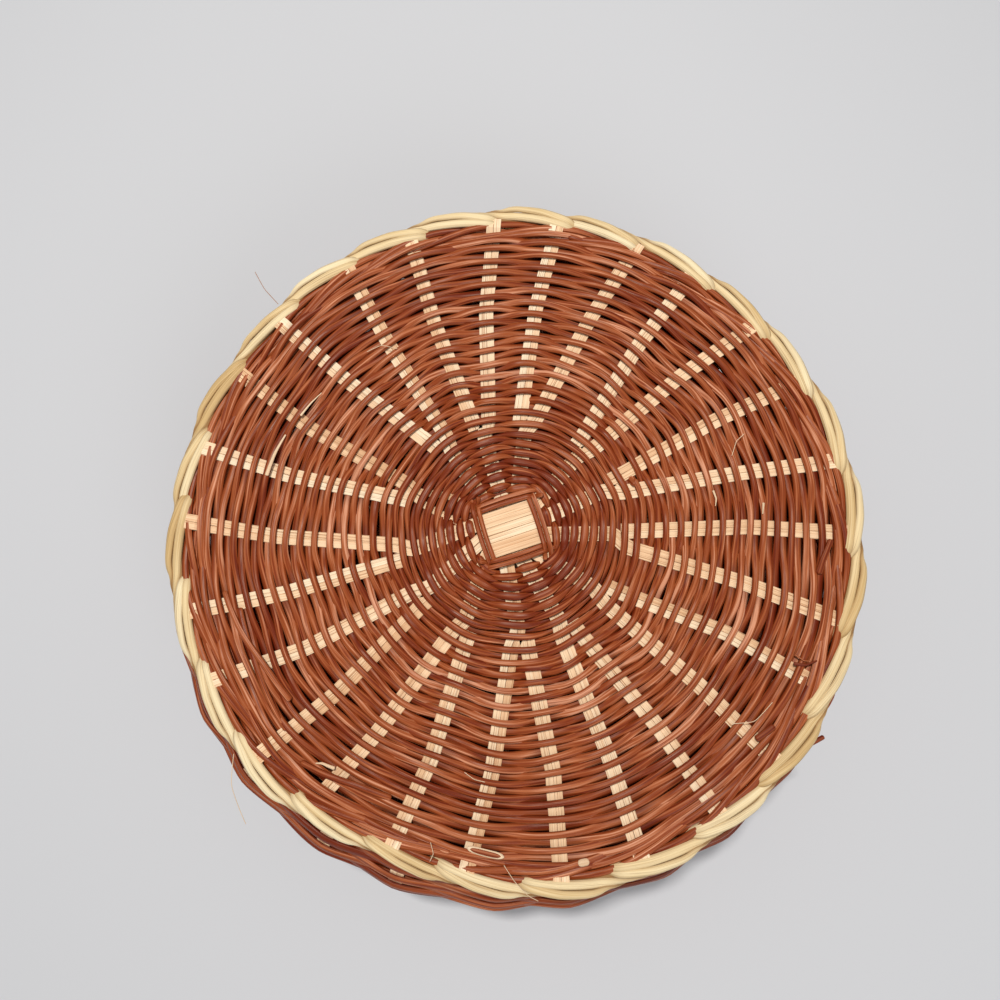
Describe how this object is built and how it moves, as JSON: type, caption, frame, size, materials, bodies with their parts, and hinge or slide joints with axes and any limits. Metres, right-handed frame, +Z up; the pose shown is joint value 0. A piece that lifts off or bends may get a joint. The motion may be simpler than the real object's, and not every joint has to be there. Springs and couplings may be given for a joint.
{
  "type": "lidded basket",
  "caption": "Round bellied wicker basket of dark red rods woven over pale splints, with a flat lift-off lid and pale rolled borders.",
  "frame": {"origin": "middle of the ring that the basket stands on, at the floor", "axes": "+Z up through the middle of the lid; +X and +Y are the right and the top of the picture, which looks down on the lid"},
  "size_m": [0.3254, 0.3243, 0.104],
  "materials": {
    "pale_splint": "peeled, matt",
    "red_rod": "dyed, low sheen",
    "wale_rod": "dyed, low sheen",
    "border_rod": "peeled, low sheen"
  },
  "bodies": {
    "basket": {"base_slath_outer": "pale_splint", "base_slath_inner": "pale_splint", "base_added_spoke": "pale_splint", "base_slath_binding": "wale_rod", "base_fine_weave": "red_rod", "base_coarse_weave": "red_rod", "side_stake_1": "pale_splint", "side_stake_2": "pale_splint", "side_stake_3": "pale_splint", "side_stake_4": "pale_splint", "side_stake_5": "pale_splint", "side_stake_6": "pale_splint", "side_stake_7": "pale_splint", "side_stake_8": "pale_splint", "side_stake_9": "pale_splint", "side_stake_10": "pale_splint", "side_stake_11": "pale_splint", "side_stake_12": "pale_splint", "side_stake_13": "pale_splint", "side_stake_14": "pale_splint", "side_stake_15": "pale_splint", "side_stake_16": "pale_splint", "side_stake_17": "pale_splint", "side_stake_18": "pale_splint", "side_stake_19": "pale_splint", "side_stake_20": "pale_splint", "side_stake_21": "pale_splint", "side_stake_22": "pale_splint", "side_stake_23": "pale_splint", "side_stake_24": "pale_splint", "side_stake_25": "pale_splint", "side_stake_26": "pale_splint", "foot_wale": "wale_rod", "side_weave": "red_rod", "rim_wale": "wale_rod", "rim_border": "border_rod"},
    "lid": {"lid_slath_upper": "pale_splint", "lid_slath_lower": "pale_splint", "lid_added_spoke": "pale_splint", "lid_second_spoke_1": "pale_splint", "lid_second_spoke_2": "pale_splint", "lid_second_spoke_3": "pale_splint", "lid_second_spoke_4": "pale_splint", "lid_second_spoke_5": "pale_splint", "lid_second_spoke_6": "pale_splint", "lid_second_spoke_7": "pale_splint", "lid_second_spoke_8": "pale_splint", "lid_second_spoke_9": "pale_splint", "lid_second_spoke_10": "pale_splint", "lid_second_spoke_11": "pale_splint", "lid_second_spoke_12": "pale_splint", "lid_second_spoke_13": "pale_splint", "lid_slath_binding": "wale_rod", "lid_fine_weave": "red_rod", "lid_coarse_weave": "red_rod", "lid_wale": "wale_rod", "lid_border": "border_rod", "lid_collar": "red_rod"}
  },
  "joints": [
    {"name": "lid_lift", "type": "slide", "parent": "basket", "child": "lid", "axis": [0, 0, 1], "range_m": [0, 0.1]}
  ]
}
